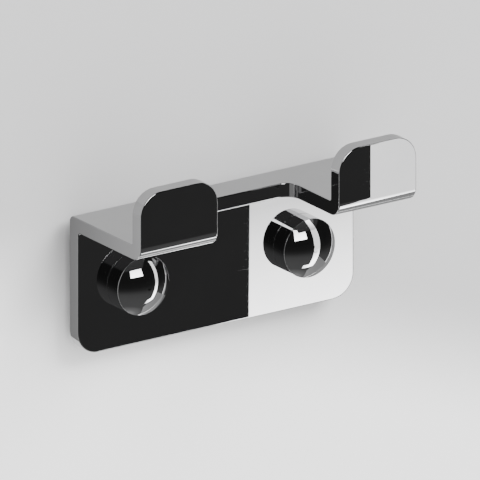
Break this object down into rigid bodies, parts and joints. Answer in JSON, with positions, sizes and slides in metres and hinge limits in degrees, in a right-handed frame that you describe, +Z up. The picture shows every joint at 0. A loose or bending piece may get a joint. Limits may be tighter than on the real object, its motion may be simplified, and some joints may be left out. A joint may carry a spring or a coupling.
{
  "type": "wall hook rack",
  "caption": "Polished wall hook rack: one bent steel plate with upturned hooks at its ends, clamped to hidden stand-off bases by round cap nuts.",
  "frame": {"origin": "on the wall plane, midway between the two wall screws", "axes": "+Y into the wall, -Y towards the room, +X to the right as seen from the room, +Z up"},
  "size_m": [0.1078, 0.0759, 0.0654],
  "materials": {
    "polished_steel": "mirror polished stainless steel",
    "polished_knob": "mirror polished, turned",
    "turned_steel": "turned, unpolished",
    "screw_steel": "zinc plated",
    "pad_rubber": "matt",
    "washer_nylon": "translucent white nylon"
  },
  "bodies": {
    "rack": {"hook_plate": "polished_steel", "left_wall_base": "turned_steel", "left_wall_pad": "pad_rubber", "left_wall_screw": "screw_steel", "right_wall_base": "turned_steel", "right_wall_pad": "pad_rubber", "right_wall_screw": "screw_steel"},
    "left_washer": {"left_knob_washer": "washer_nylon"},
    "left_knob": {"left_knob": "polished_knob"},
    "right_washer": {"right_knob_washer": "washer_nylon"},
    "right_knob": {"right_knob": "polished_knob"}
  },
  "joints": [
    {"name": "left_knob_travel", "type": "slide", "parent": "rack", "child": "left_washer", "axis": [0, -1, 0], "range_m": [0, 0.0041]},
    {"name": "left_knob_turn", "type": "hinge", "parent": "left_washer", "child": "left_knob", "pos_m": [-0.0325, 0, 0], "axis": [0, -1, 0], "range_deg": [0, 1440]},
    {"name": "right_knob_travel", "type": "slide", "parent": "rack", "child": "right_washer", "axis": [0, -1, 0], "range_m": [0, 0.0041]},
    {"name": "right_knob_turn", "type": "hinge", "parent": "right_washer", "child": "right_knob", "pos_m": [0.0325, 0, 0], "axis": [0, -1, 0], "range_deg": [0, 1440]}
  ],
  "couplings": [
    {"joint": "left_knob_travel", "follows": "left_knob_turn", "m_per_rad": 0.00015915},
    {"joint": "right_knob_travel", "follows": "right_knob_turn", "m_per_rad": 0.00015915}
  ]
}
